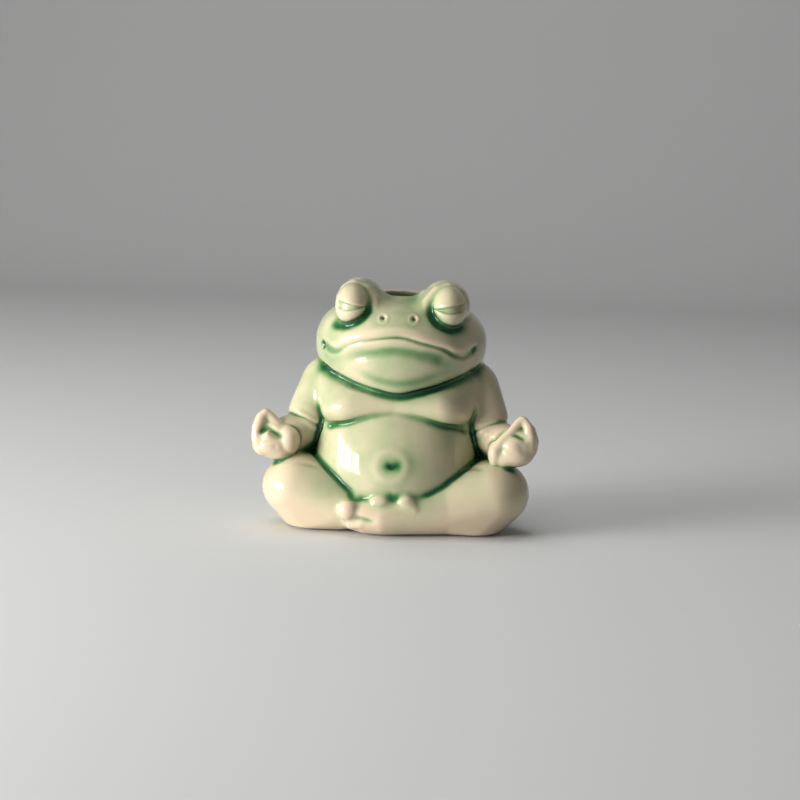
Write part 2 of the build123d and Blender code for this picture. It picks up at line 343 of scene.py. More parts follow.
# The frog's pieces as lumps of clay
def left_hand(growth):
    """The left hand: thumb and forefinger meet high above the curled fingers."""
    palm = hull(((37.0, -13.4, 27.6), (6.4, 5.4, 5.8)), growth=growth)
    heel = hull(((36.2, -14.4, 25.0), (6.0, 4.8, 3.9)), ((33.6, -14.2, 24.0), (4.0, 4.4, 3.2)),
                growth=growth)
    curled = hull(((35.9, -16.9, 27.5), (3.3, 2.6, 3.0)), ((37.0, -16.6, 25.6), (3.0, 2.6, 2.6)),
                  growth=growth)
    thumb_base = hull(((30.6, -15.3, 25.2), (2.4, 3.2, 3.9)), growth=growth)
    thumb = coil(((30.8, -16.4, 26.8), 1.8), ((32.2, -16.7, 29.3), 1.3), ((34.6, -16.3, 31.7), 1.15),
                 ((36.6, -15.5, 34.1), 1.35), ((38.1, -14.8, 35.7), 1.35), growth=growth)
    forefinger = coil(((40.6, -15.4, 27.4), 2.3), ((41.0, -16.0, 30.5), 1.7), ((40.4, -15.7, 33.4), 1.5),
                      ((38.9, -15.0, 35.5), 1.3), growth=growth)
    second_finger = coil(((42.0, -12.6, 28.8), 1.6), ((41.3, -12.6, 32.6), 1.1), ((39.6, -13.4, 34.8), 1.0),
                         growth=growth)
    return [palm, heel, curled, thumb_base, *thumb, *forefinger, *second_finger]


def right_hand(growth):
    """The right hand: rounder than the left, with a web behind thumb and forefinger."""
    palm = hull(((-37.0, -12.6, 27.2), (6.5, 5.0, 5.6)), growth=growth)
    heel = hull(((-37.3, -14.6, 24.9), (6.2, 4.6, 3.8)), ((-35.0, -14.2, 23.6), (4.2, 4.4, 3.8)),
                growth=growth)
    thumb_base = hull(((-32.1, -14.6, 26.5), (3.4, 4.2, 4.4)), ((-32.9, -14.4, 28.4), (2.6, 3.2, 3.0)),
                      growth=growth)
    forefinger = coil(((-39.9, -15.6, 24.4), 2.9), ((-41.5, -15.6, 27.3), 2.2), ((-41.8, -15.2, 30.4), 1.8),
                      ((-40.9, -14.9, 33.3), 1.6), ((-39.5, -14.6, 34.9), 1.2), growth=growth)
    thumb = coil(((-33.4, -14.6, 28.6), 2.2), ((-35.2, -14.3, 30.5), 1.6), ((-37.3, -14.2, 32.9), 1.5),
                 ((-39.2, -14.4, 34.9), 1.2), growth=growth)
    web = hull(((-39.4, -13.7, 32.8), 1.5), ((-40.6, -13.6, 29.6), 1.8), ((-36.6, -13.6, 30.6), 1.8),
               growth=growth)
    curled = hull(((-40.7, -16.2, 26.1), 1.3), ((-38.4, -17.5, 28.3), 1.2), ((-35.2, -16.9, 25.7), 1.3),
                  ((-39.8, -16.4, 23.9), 1.3), ((-35.4, -17.0, 23.9), 1.3), growth=growth)
    return [palm, heel, thumb_base, *forefinger, *thumb, web, curled]


def left_foot(growth):
    """The left foot: it lies in front, with its big toe up and a small one below."""
    pad = coil(((-2.6, -24.2, 6.0), 5.4), ((-7.0, -23.8, 6.0), 5.3), ((-11.0, -22.6, 6.0), 4.6),
               growth=growth)
    big_toe = hull(((-10.8, -24.6, 7.2), 3.0), ((-12.5, -26.6, 7.9), (3.1, 2.6, 3.2)), growth=growth)
    small_toe = hull(((-11.6, -26.0, 3.9), 1.7), ((-8.4, -27.2, 4.1), 1.5), growth=growth)
    return [*pad, big_toe, small_toe]


def right_foot(growth):
    """The right foot: it lies behind, and two toes look over the left shin."""
    pad = coil(((-8.0, -21.0, 7.0), 4.2), ((0.0, -22.4, 7.4), 4.0), growth=growth)
    outer_toe = hull(((4.6, -23.6, 10.4), 3.4), ((4.6, -25.8, 11.0), (3.0, 2.6, 2.6)),
                     ((7.0, -25.6, 8.6), (2.8, 2.4, 2.6)), growth=growth)
    inner_toe = hull(((-2.8, -22.4, 8.2), 3.8), ((-3.0, -25.8, 10.5), (3.6, 2.7, 2.8)), growth=growth)
    return [*pad, outer_toe, inner_toe]


def chest_fold(side, growth):
    """One of the two folds of the chest, from the breastbone to the collar."""
    fold = ((13.0, -7.8, 38.2 + 0.3 * side), (10.8, 13.7, 7.3), (0, side * 12, 0))
    breastbone = ((0, -15.9, 39.1), 5.0)
    collar = ((19.5, -4.8, 42.6), 6.8)
    return hull(*mirrored([fold, breastbone, collar], side), growth=growth)


def brow_lumps(name, growth):
    """The swelling over an eye, the hood round it and the ridge that runs down to the nostril."""
    side, tuck = sides[name], brow_tuck[name]
    brow = ((13.4 - tuck, -7.4, 68.6), (7.6, 10.4, 7.8))
    saddle = ((6.8, -3.7, 64.8), 6.5)
    hood = (((5.6, -18.6, 64.0), 2.4), ((7.3, -16.6, 66.6), 2.0), ((8.4, -14.9, 70.0), 2.2),
            ((10.9, -13.7, 73.0), 2.2), ((14.2, -13.0, 74.2), 2.0), ((17.5 - tuck, -12.7, 73.0), 1.9),
            ((19.1 - tuck, -12.7, 70.6), 1.6), ((19.4 - tuck, -12.7, 68.0), 1.3))
    ridge = (((8.4, -9.8, 69.4), 4.4), ((6.0, -15.2, 66.2), 3.2), ((4.6, -19.0, 63.4), 3.0))
    return [hull(*mirrored([brow, saddle], side), growth=growth),
            *coil(*mirrored(hood, side), growth=growth), *coil(*mirrored(ridge, side), growth=growth)]


def arm_lumps(side, growth):
    """A sleeve that ends in a hem, and a forearm that comes out of it and rests on the thigh."""
    shoulder, sleeve, cuff, elbow, wrist, rest = mirrored([
        ((21.3, 1.0, 41.9), 9.5), ((26.7, -3.8, 34.8), 6.9), ((27.8, -5.6, 31.9), 6.5),
        ((28.0, -5.2, 29.2), 6.0), ((33.1, -10.3, 28.0), 5.4), ((29.5, -5.5, 24.6), 4.0)], side)
    return {"upper_arm": coil(shoulder, sleeve, cuff, growth=growth),
            "forearm": [hull(elbow, wrist, rest, growth=growth)]}


def leg_lumps(name, growth):
    """A thigh beside the seat, and a shin that comes in from the knee on its flat print."""
    hip, thigh_end, sole, calf = mirrored([
        ((20.0, 8.0, 13.5), 12.5), ((27.5, -8.5, 12.6), 9.6), ((24.2, -10.8, 1.2), (9.2, 10.6, 1.2)),
        ((16.4, -18.0, 8.4), 8.0)], sides[name])
    knees = {"left": ((29.9, -11.5, 12.4), (11.3, 13.5, 10.2)),
             "right": ((-29.2, -11.5, 12.4), (11.2, 13.5, 10.0))}
    ankles = {"left": ((-2.6, -24.2, 6.0), 5.4), "right": ((-8.0, -21.0, 7.0), 5.0)}
    shin = [hull(knees[name], sole, calf, growth=growth)] + coil(calf, ankles[name], growth=growth)
    return {"thigh": coil(hip, thigh_end, growth=growth), "shin": shin}


def frog_lumps(growth=0.0):
    """Every piece of the frog as its lumps of clay."""
    made = {"trunk": [rings(trunk_rings, growth)], "head": [rings(head_rings, growth)],
            "left_hand": left_hand(growth), "right_hand": right_hand(growth),
            "left_foot": left_foot(growth), "right_foot": right_foot(growth)}
    for name, side in sides.items():
        made["trunk"].append(chest_fold(side, growth))
        made["head"] += brow_lumps(name, growth)
        made[f"{name}_eye"] = turned([hull(*mirrored([(eye_middle, eye_radii)], side), growth=growth)])
        for piece, parts in {**arm_lumps(side, growth), **leg_lumps(name, growth)}.items():
            made[f"{name}_{piece}"] = parts
    turned(made["head"])
    return made


def pierce(clay):
    """Cut the crown mouth, the nostrils and the navel into the clay."""
    pits = bmesh.new()
    drum(pits, crown_middle, crown_radius, crown_depth, segments=96)
    for across in nostrils.values():
        drum(pits, (across, nostril_back, nostril_height), nostril_radius, nostril_depth, segments=24,
             tilt=nostril_tilt)
    navel = hull(((0.2, -27.8, 22.0), (2.1, 1.5, 0.9)), ((0.2, -27.8, 21.1), (0.9, 1.5, 0.6)))
    cutter = joined("pits", [pits, navel])
    cut(clay, cutter, "DIFFERENCE")
    bpy.data.objects.remove(cutter)


# The clay is fused and pierced, and then the eyes are pressed in
clay_lumps = frog_lumps()
eyes = clay_lumps.pop("left_eye") + clay_lumps.pop("right_eye")
clay = joined("clay", [part for parts in clay_lumps.values() for part in parts])
clay = remeshed(clay, skin_grain)
pierce(clay)
pierced = bmesh.new()
pierced.from_mesh(clay.data)
bpy.data.objects.remove(clay)
skin = remeshed(joined("clay_skin", [pierced] + eyes), skin_grain)


# Levelling: wet clay is rubbed into the seams where one form runs into another
def near(points, middle, reach):
    """A share that is one round a place and falls to nothing at a reach."""
    away = np.linalg.norm(points - np.array(middle), axis=1) / reach
    return np.clip(1.6 - 1.6 * away, 0, 1)


def rub(spots, turns):
    """Fill the hollows round some spots, and leave the ridges."""
    points, out = places(skin.data), facings(skin.data)
    rise = np.clip(((settled(skin, turns) - points) * out).sum(1), 0, None)
    share = np.zeros(len(points))
    for middle, reach in spots:
        share = np.maximum(share, near(points, middle, reach))
    move_to(skin.data, points + out * (rise * share)[:, None])


shoulder_spots = both([((22.5, -9.0, 44.0), 8.5), ((24.0, 8.0, 40.0), 15.0), ((18.0, -13.0, 44.0), 6.0),
                       ((26.0, -8.0, 41.5), 6.0)])
leg_spots = both([((21.0, -8.0, 14.0), 11.0), ((27.0, 2.0, 12.0), 16.0), ((20.0, -20.0, 8.0), 10.0)])
brow_spots = both([((5.0, -8.0, 70.0), 8.0), ((3.5, -15.0, 67.5), 5.5), ((4.0, -20.0, 64.0), 5.5),
                   ((15.0, 3.0, 66.0), 10.0), ((15.0, -8.5, 76.0), 7.5), ((8.5, 3.5, 71.0), 4.5),
                   ((21.0, -9.0, 71.0), 6.0), ((8.0, -10.5, 73.5), 6.0)])
toe_spots = [((1.5, -26.0, 9.0), 9.0), ((-10.0, -26.0, 9.5), 7.0), ((-3.0, -28.0, 3.0), 6.0)]
seam_spots = shoulder_spots + leg_spots + brow_spots
move_to(skin.data, settled(skin, 8))
rub(seam_spots, 300)
rub(seam_spots + toe_spots, 120)
rub(toe_spots, 60)
move_to(skin.data, settled(skin, 6))


# Drawing on the skin: grooves are carved, and stains are kept for the glaze
def depth_at(across, up):
    """How far back the front of the skin lies at a place."""
    hit, place, _, _ = skin.ray_cast(Vector((across, -60, up)), Vector((0, 1, 0)))
    return place.y if hit else None


def crease_beside(place, way, reach):
    """How far aside of a place the skin is most hollow, within a reach."""
    step, span = 0.2, 4
    margin = step * span
    shifts = np.arange(-reach - margin, reach + margin + 0.01, step)
    backs = [depth_at(*(place + way * shift)) for shift in shifts]
    best, found = 0.02, 0.0
    for number in range(span, len(shifts) - span):
        before, here, after = backs[number - span], backs[number], backs[number + span]
        if None not in (before, here, after) and 2 * here - before - after > best:
            best, found = 2 * here - before - after, shifts[number]
    return found


def on_front(line, reach=0.0):
    """Lay a line of across and up places on the front of the skin, or in the crease within a reach of it."""
    line = np.array(line, float)
    if reach:
        along = np.gradient(line, axis=0)
        aside = np.stack((-along[:, 1], along[:, 0]), axis=1) / np.linalg.norm(along, axis=1)[:, None]
        shifts = [crease_beside(place, way, reach) for place, way in zip(line, aside)]
        even = np.convolve(np.pad(shifts, 4, mode="edge"), np.ones(9) / 9, mode="valid")
        line = line + aside * even[:, None]
    laid = [(across, depth_at(across, up), up) for across, up in line]
    return np.array([place for place in laid if place[1] is not None])


def close_to(line, width, swell, ends):
    """How strongly each point of the skin feels a line, which swells along its run and fades at its ends."""
    points = places(skin.data)
    felt = np.zeros(len(points))
    reach = 3 * width
    inside = np.all((points > line.min(0) - reach) & (points < line.max(0) + reach), axis=1)
    near_by = points[inside]
    best = np.zeros(len(near_by))
    run = np.concatenate(([0], np.cumsum(np.linalg.norm(np.diff(line, axis=0), axis=1))))
    fade = np.clip(np.minimum(run, run[-1] - run) / min(ends, 0.4 * run[-1]), 0.05, 1)
    fade = fade * np.interp(run / run[-1], np.linspace(0, 1, len(swell)), swell)
    for stop, share in zip(line, fade):
        best = np.maximum(best, share * np.exp(-((near_by - stop) ** 2).sum(1) / width ** 2))
    felt[inside] = best
    return felt


def carve(line, width, depth, swell=(1, 1), ends=2.5):
    """Draw a groove along a line, or raise a ridge where the depth is below zero."""
    sunk = depth * close_to(line, width, swell, ends)
    move_to(skin.data, places(skin.data) - facings(skin.data) * sunk[:, None])


stains = []


def stain(line, width, amount, swell=(1, 1), ends=2.5):
    """Remember where the glaze runs together along a line, or is thin where the amount is below zero."""
    stains.append((line, width, amount, swell, ends))


def press_edge(point, facing, middle, reach, width, depth):
    """Press a crease where a plane meets the skin near a place."""
    points = places(skin.data)
    off = (points - np.array(point)) @ np.array(Vector(facing).normalized())
    away = np.linalg.norm(points - np.array(middle), axis=1)
    sunk = depth * np.exp(-(off / width) ** 2) * np.clip((reach - away) / 2.5, 0, 1)
    move_to(skin.data, points - facings(skin.data) * sunk[:, None])


def draw_neck():
    """The crease under the chin, where the glaze stands deep."""
    neck = path((-24.6, 49.0), (-20.3, 47.0), (-12.0, 45.0), (-4.5, 42.8), (1.6, 41.6), (8.0, 43.2),
                (12.6, 44.9), (19.9, 46.4), (25.0, 49.4))
    neck = on_front(neck, reach=1.2)
    carve(neck, width=1.3, depth=0.7)
    stain(neck, width=2.1, amount=0.38, swell=(1, 0.8, 0.6, 0.9, 1, 1, 1))


def draw_mouth():
    """The mouth line from corner to corner, the pale lip above it and the pockets at its ends."""
    mouth = path((-22.6, 55.9), (-20.6, 54.3), (-17.9, 54.7), (-14.9, 56.8), (-8.7, 58.9), (1.2, 60.3),
                 (8.8, 58.5), (14.4, 56.8), (18.0, 54.5), (21.0, 53.9), (23.0, 56.4))
    carve(on_front(mouth), width=0.55, depth=0.9, swell=(0.15, 0.2, 0.7, 1, 1, 0.7, 0.3))
    upper_lip = mouth[path_steps:-path_steps] + (0, 2.0)
    carve(on_front(upper_lip), width=1.3, depth=-0.35)
    stain(on_front(upper_lip), width=1.8, amount=-0.12)
    lower_lip = path((-13.0, 56.4), (0.5, 58.3), (11.5, 56.4))
    stain(on_front(lower_lip), width=1.5, amount=-0.14, ends=5)
    right_pocket = path((-14.5, 56.6), (-17.0, 55.3), (-20.5, 55.2), (-22.7, 56.4))
    right_corner = path((-22.9, 57.2), (-22.6, 54.8))
    left_pocket = path((13.5, 57.0), (17.0, 55.2), (20.5, 54.9), (23.2, 56.0))
    left_corner = path((22.4, 55.0), (23.6, 57.0))
    for pocket, corner in ((right_pocket, right_corner), (left_pocket, left_corner)):
        carve(on_front(pocket), width=1.2, depth=0.6, swell=(0.2, 0.8, 1), ends=1.5)
        carve(on_front(corner), width=0.8, depth=0.8, ends=0.8)
        stain(on_front(corner), width=1.0, amount=0.35, ends=0.8)


def draw_throat():
    """Two soft folds between the lower lip and the neck."""
    high = path((-16.5, 52.6), (-13.0, 53.8), (-7.0, 55.4), (1.3, 56.2), (8.5, 55.2), (13.5, 53.4),
                (17.5, 51.4))
    carve(on_front(high), width=2.1, depth=0.6, ends=6)
    stain(on_front(high), width=2.4, amount=0.19, swell=(0.7, 0.8, 1, 1.2, 1.0), ends=7)
    low = path((-14.0, 50.9), (-8.0, 48.0), (-3.5, 46.6), (1.5, 46.1), (6.5, 46.8), (11.0, 48.4),
               (15.5, 50.4))
    carve(on_front(low), width=1.8, depth=0.35, ends=7)
    stain(on_front(low), width=1.8, amount=0.15, swell=(0.6, 0.8, 1, 1.3, 1.3), ends=7)


def draw_chest():
    """The crease under the chest, faint at its middle, and the armpits."""
    chest = path((-21.2, 30.6), (-19.0, 31.0), (-14.4, 33.1), (-7.3, 36.2), (0.2, 37.2), (8.4, 36.2),
                 (15.2, 33.2), (20.0, 31.4), (22.0, 31.0))
    chest = on_front(chest, reach=0.6)
    carve(chest, width=1.0, depth=0.8, swell=(1, 0.9, 0.4, 0.15, 0.4, 0.9, 1))
    stain(chest, width=1.5, amount=0.30, swell=(1, 0.8, 0.2, 0, 0.2, 0.9, 1))
    right_armpit = path((-23.0, 38.0), (-22.8, 35.6), (-23.0, 32.0), (-24.2, 28.5), (-25.0, 25.0))
    left_armpit = path((23.6, 39.0), (24.0, 37.0), (24.0, 32.0), (24.6, 28.8), (25.2, 26.2))
    for armpit in (right_armpit, left_armpit):
        armpit = on_front(armpit, reach=0.9)
        carve(armpit, width=0.8, depth=0.5)
        stain(armpit, width=1.5, amount=0.35, swell=(0, 0.3, 1, 1))


def draw_belly_edge():
    """Where the belly meets the legs, with a pool between the toes, and the folds on the thighs."""
    right_edge = path((-24.6, 24.5), (-23.4, 21.8), (-20.1, 18.6), (-14.9, 15.1), (-10.4, 12.6),
                      (-6.7, 11.9))
    left_edge = path((8.6, 13.0), (12.7, 14.7), (17.2, 18.4), (21.2, 21.2), (24.5, 23.8), (25.5, 26.0))
    for edge in (right_edge, left_edge):
        edge = on_front(edge, reach=1.5)
        carve(edge, width=0.9, depth=0.3)
        stain(edge, width=1.25, amount=0.28)
    between_toes = path((-0.6, 13.4), (0.9, 12.2), (2.2, 13.2))
    stain(on_front(between_toes), width=1.4, amount=0.4, ends=1)
    right_fold = path((-30.0, 20.4), (-25.5, 20.2), (-21.6, 18.8))
    left_fold = path((22.0, 19.8), (25.0, 20.8), (28.6, 20.6))
    for fold in (right_fold, left_fold):
        carve(on_front(fold), width=1.3, depth=0.4, ends=4)


def draw_hems():
    """The hems of the sleeves, seen from the front."""
    right_hem = path((-31.0, 35.2), (-28.0, 34.9), (-25.2, 33.4), (-23.8, 32.0))
    left_hem = path((24.4, 32.4), (26.4, 34.0), (29.4, 35.2), (33.0, 35.6))
    for hem in (right_hem, left_hem):
        hem = on_front(hem, reach=0.9)
        carve(hem, width=0.8, depth=0.2)
        stain(hem, width=1.1, amount=0.12)


def draw_eye_pools():
    """The groove under each eye, where a dark pool of glaze stands."""
    stops = ((8.7, 70.6), (8.6, 67.6), (10.0, 64.8), (12.3, 63.1), (15.2, 62.1), (17.8, 62.4), (18.9, 63.2))
    aside = 0.78
    for side in sides.values():
        pool = path(*[(side * (across + aside), up) for across, up in stops])
        pool = on_front(pool, reach=0.3)
        carve(pool, width=1.3, depth=0.8, swell=(0.3, 0.8, 1, 1, 1, 0.8))
        stain(pool, width=2.2, amount=0.45, swell=(0.3, 0.7, 1, 1, 1, 1), ends=1.5)


def draw_feet():
    """The slot between the left foot's toes, and the line where the right foot's toes rest."""
    slot = on_front(path((-11.2, 5.4), (-8.8, 6.1), (-5.7, 5.5), (-4.1, 5.6)))
    carve(slot, width=0.8, depth=1.1)
    stain(slot, width=1.2, amount=0.35, swell=(0.2, 1, 1))
    rest = path((-9.0, 11.6), (-5.8, 10.7), (-3.0, 10.3), (0.2, 10.6))
    stain(on_front(rest), width=0.7, amount=0.15)


def draw_wrists():
    """The crease between each hand and its forearm."""
    right_wrist = path((-33.2, 31.5), (-30.4, 29.6), (-28.8, 27.3), (-28.7, 24.6))
    left_wrist = path((34.1, 31.9), (31.2, 29.8), (28.6, 27.3), (28.3, 24.6))
    for wrist in (right_wrist, left_wrist):
        carve(on_front(wrist, reach=0.9), width=0.5, depth=0.7)


def draw_cuffs_and_nostrils():
    """The undercut of each sleeve's hem all the way round, and a low rim round each nostril."""
    for side in sides.values():
        press_edge(point=(side * 30.4, -8.2, 33.0), facing=(side * 0.40, -0.28, -0.875),
                   middle=(side * 29.0, -5.0, 32.0), reach=9.5, width=0.7, depth=0.7)
        rim = loop((side * 4.55 + 0.45, nostril_height), 1.3, 1.3)
        carve(on_front(rim), width=0.5, depth=-0.15, ends=0.1)


def draw_navel():
    """A low swell round the navel, and the pool in its pit."""
    swell = loop((0.1, 21.8), 4.6, 4.2, stops=13)
    carve(on_front(swell), width=1.6, depth=-0.28, ends=0.1)
    pit = path((-1.4, 21.9), (0.2, 21.7), (1.8, 22.0))
    stain(on_front(pit), width=1.4, amount=0.5, ends=0.5)


def draw_crown():
    """The crown mouth's front edge, worn low."""
    front = path((-6.0, -3.6, 71.6), (-3.4, -5.8, 71.6), (0.0, -6.6, 71.6), (3.4, -5.8, 71.6),
                 (6.0, -3.6, 71.6))
    carve(front, width=2.4, depth=0.9)


def draw_hands():
    """The slots between the curled fingers and the thumb, and the notches of the right fingertips."""
    right_slot = on_front(path((-41.2, 28.4), (-39.9, 29.6), (-38.4, 30.5), (-36.3, 29.4), (-33.9, 27.8)))
    carve(right_slot, width=0.8, depth=1.2)
    stain(right_slot, width=1.1, amount=0.2)
    left_slot = on_front(path((35.2, 31.2), (37.2, 31.2), (38.8, 30.3), (39.3, 29.2)))
    carve(left_slot, width=0.7, depth=1.0)
    stain(left_slot, width=1.0, amount=0.2)
    for notch in (path((-36.0, 25.4), (-35.9, 24.6)), path((-40.7, 25.8), (-40.4, 25.0))):
        carve(on_front(notch), width=0.7, depth=0.2)


def open_lids(side):
    """Press the slit between an eye's lids, from its inner corner to its outer side."""
    middle = Matrix.Rotation(head_turn, 3, "Z") @ Vector((side * eye_middle[0], *eye_middle[1:]))
    points, out = places(skin.data), facings(skin.data)
    shape = (points - np.array(middle)) / np.array(eye_radii)
    on_pellet = np.abs(np.linalg.norm(shape, axis=1) - 1) < 0.16
    across = side * (points[:, 0] - middle.x)
    up = points[:, 2] - middle.z
    along = np.clip((across - slit_start) / slit_length, 0, 1)
    upper = slit_level + upper_lid_rise * along
    lower = slit_level - lower_lid_drop * np.sin(math.pi * 0.85 * along)
    between = np.clip((upper - up) / lid_edge + 0.5, 0, 1) * np.clip((up - lower) / lid_edge + 0.5, 0, 1)
    in_front = np.clip((0.1 - shape[:, 1]) / 0.25, 0, 1)
    share = between * in_front * on_pellet * np.clip((slit_fade_end - across) / 0.8, 0, 1)
    move_to(skin.data, points - out * (slit_depth * share)[:, None])
    return share


bpy.context.view_layer.update()
draw_neck()
draw_mouth()
draw_throat()
draw_chest()
draw_belly_edge()
draw_hems()
draw_eye_pools()
draw_feet()
draw_wrists()
draw_cuffs_and_nostrils()
draw_navel()
draw_crown()
draw_hands()
slits = open_lids(1) + open_lids(-1)

# Where the glaze stands deeper, with painted shade under the forearms and hands, and where it is thin: a
# place, how far it reaches, and an amount
# Painted shade in the gap under each forearm, on top of the glaze pooled where forearm, belly and thigh meet
pool_and_shade_under_forearms = ((27.0, -5.0, 23.5), 7.0, 0.5)
# Painted contact shade under each hand where it rests on the knee, on top of the glaze pooled in that crease
pool_and_shade_under_hands = ((35.0, -15.5, 20.6), 3.5, 0.45)
beside_nostrils = ((5.2, -21.8, 64.6), 3.6, 0.15)
paired_pools_and_painted_shade = (pool_and_shade_under_forearms, pool_and_shade_under_hands, beside_nostrils)
down_the_nose = (((0.6, -12.0, 71.5), 6.5, 0.04), ((0.6, -17.0, 69.0), 5.0, 0.04),
                 ((0.8, -20.5, 66.5), 3.5, 0.06))
throat_pool = ((0.5, -24.0, 51.5), 14.0, 0.09)
cheek_pool = ((-19.0, -15.0, 54.0), 9.0, 0.08)
belly_pool = ((0.0, -27.0, 15.0), 9.0, 0.05)
single_pools = (*down_the_nose, throat_pool, cheek_pool, belly_pool)
thin_spots = (((27.0, -8.0, 36.0), 12.0), ((30.0, -8.0, 27.0), 9.0), ((37.0, -15.0, 29.0), 12.0),
              ((33.0, -15.0, 16.0), 14.0), ((24.0, -18.0, 11.0), 16.0))

# Glaze, in shares of its full depth: fine creases are found by few smoothing turns and broad ones by many
fine_turns = 24
broad_turns = 260
broad_share = 0.4
crease_limit = 0.34
slit_amount = 0.08
bore_amount = 0.2
shin_thinning = 0.20
limb_thinning = 0.13
filled_share = 0.8
box_margin = 0.02


def glaze():
    """Let the glaze run off the ridges into the creases, and keep how deep it stands at each point, with
    painted shade added under the forearms and hands.
    """
    clay, out = places(skin.data), facings(skin.data)
    lift = ((settled(skin, fine_turns) - clay) * out).sum(1)
    pool = ((settled(skin, broad_turns) - clay) * out).sum(1)
    move_to(skin.data, clay + out * (np.clip(lift, 0, None) * filled_share)[:, None])
    move_to(skin.data, settled(skin, 3))
    points = places(skin.data)
    points[:, 2] = np.clip(points[:, 2], 0, None)
    low = np.array(cad_low) * 1000 + box_margin
    high = np.array(cad_high) * 1000 - box_margin
    move_to(skin.data, np.clip(points, low, high))
    depth = lift + broad_share * pool
    depth = np.where(depth > 0, crease_limit * np.tanh(depth / crease_limit), depth)
    depth = depth + slit_amount * slits
    for line, width, amount, swell, ends in stains:
        depth += amount * close_to(line, width, swell, ends)
    for middle, reach, amount in (*both(paired_pools_and_painted_shade), *single_pools):
        depth += amount * near(points, middle, reach)
    depth -= shin_thinning * np.clip((12 - points[:, 2]) / 5, 0, 1) * np.clip((-10 - points[:, 1]) / 6, 0, 1)
    for middle, reach in both(thin_spots):
        depth -= limb_thinning * near(points, middle, reach) * np.clip((0.2 - depth) / 0.1, 0, 1)
    from_bore = np.hypot(points[:, 0] - crown_middle[0], points[:, 1] - crown_middle[1])
    in_bore = (from_bore < crown_radius + 0.5) & (points[:, 2] > 55) & (points[:, 2] < 71)
    depth += bore_amount * in_bore
    attribute = skin.data.attributes.new("glaze_depth_and_painted_shade", "FLOAT", "POINT")
    attribute.data.foreach_set("value", depth.astype(np.float32))


glaze()


def noise(nodes, links, where, scale, detail):
    """A soft noise over an object's own places."""
    made = nodes.new("ShaderNodeTexNoise")
    made.inputs["Scale"].default_value = scale
    made.inputs["Detail"].default_value = detail
    links.new(where.outputs["Object"], made.inputs["Vector"])
    return made.outputs["Fac"]


def celadon():
    """Celadon glaze: pale and warm where it is thin, and deep green where it stands or where shade is
    painted under the forearms and hands.
    """
    material = bpy.data.materials.new("celadon_glaze")
    material.use_nodes = True
    nodes, links = material.node_tree.nodes, material.node_tree.links
    shader = nodes["Principled BSDF"]
    shader.inputs["Roughness"].default_value = 0.12
    shader.inputs["IOR"].default_value = 1.5
    shader.inputs["Coat Weight"].default_value = 0.25
    shader.inputs["Coat Roughness"].default_value = 0.03
    where = nodes.new("ShaderNodeTexCoord")
    depth = nodes.new("ShaderNodeAttribute")
    depth.attribute_name = "glaze_depth_and_painted_shade"
    clouded = nodes.new("ShaderNodeMath")
    clouded.operation = "MULTIPLY_ADD"
    clouded.inputs[1].default_value = 0.7
    links.new(noise(nodes, links, where, scale=70.0, detail=3.0), clouded.inputs[0])
    links.new(depth.outputs["Fac"], clouded.inputs[2])
    ramp = nodes.new("ShaderNodeValToRGB")
    tones = ((0.0, (0.62, 0.50, 0.35)), (0.25, (0.49, 0.46, 0.29)), (0.42, (0.34, 0.38, 0.21)),
             (0.60, (0.15, 0.25, 0.10)), (0.80, (0.03, 0.13, 0.04)), (1.0, (0.008, 0.05, 0.02)))
    while len(ramp.color_ramp.elements) < len(tones):
        ramp.color_ramp.elements.new(0.5)
    for element, (place, colour) in zip(ramp.color_ramp.elements, tones):
        element.position = place
        element.color = (*colour, 1)
    links.new(clouded.outputs["Value"], ramp.inputs["Fac"])
    links.new(ramp.outputs["Color"], shader.inputs["Base Color"])
    bump = nodes.new("ShaderNodeBump")
    bump.inputs["Strength"].default_value = 0.25
    bump.inputs["Distance"].default_value = 0.0006
    links.new(noise(nodes, links, where, scale=90.0, detail=2.0), bump.inputs["Height"])
    links.new(bump.outputs["Normal"], shader.inputs["Normal"])
    links.new(bump.outputs["Normal"], shader.inputs["Coat Normal"])
    return material


# The skin is parted into one closed piece for each piece of the frog
def part_skin(grown):
    """Cut each piece out of the skin in turn. What is left is the trunk."""
    order = [f"{side}_{piece}" for piece in ("eye", "hand", "forearm", "upper_arm", "foot", "shin", "thigh")
             for side in sides] + ["head"]
    pieces = {}
    for name in order:
        cutter = remeshed(joined("cutter", grown[name]), cutter_grain)
        piece = bpy.data.objects.new(name, skin.data.copy())
        bpy.context.scene.collection.objects.link(piece)
        pieces[name] = cut(piece, cutter, "INTERSECT")
        cut(skin, cutter, "DIFFERENCE")
        bpy.data.objects.remove(cutter)
    pieces["trunk"] = skin
    return pieces


def hollow_out(pieces):
    """A chamber in the trunk, one in the head under the crown mouth, and a passage between them."""
    for chamber, owner in ((trunk_chamber, "trunk"), (head_chamber, "head")):
        cutter = joined("cutter", [rings(chamber)])
        cut(pieces[owner], cutter, "DIFFERENCE")
        bpy.data.objects.remove(cutter)
    bm = bmesh.new()
    drum(bm, (0, 0, passage_height), passage_radius, passage_length, segments=64)
    passage = new_object("passage", bm)
    for owner in ("trunk", "head"):
        cut(pieces[owner], passage, "DIFFERENCE")
    bpy.data.objects.remove(passage)


def thinned(obj):
    """Take faces away where a piece has more than it needs, and say whether it had."""
    triangles = sum(len(polygon.vertices) - 2 for polygon in obj.data.polygons)
    if triangles <= most_triangles:
        return False
    thin = obj.modifiers.new("Thin", "DECIMATE")
    thin.ratio = most_triangles / triangles
    finished(obj)
    return True


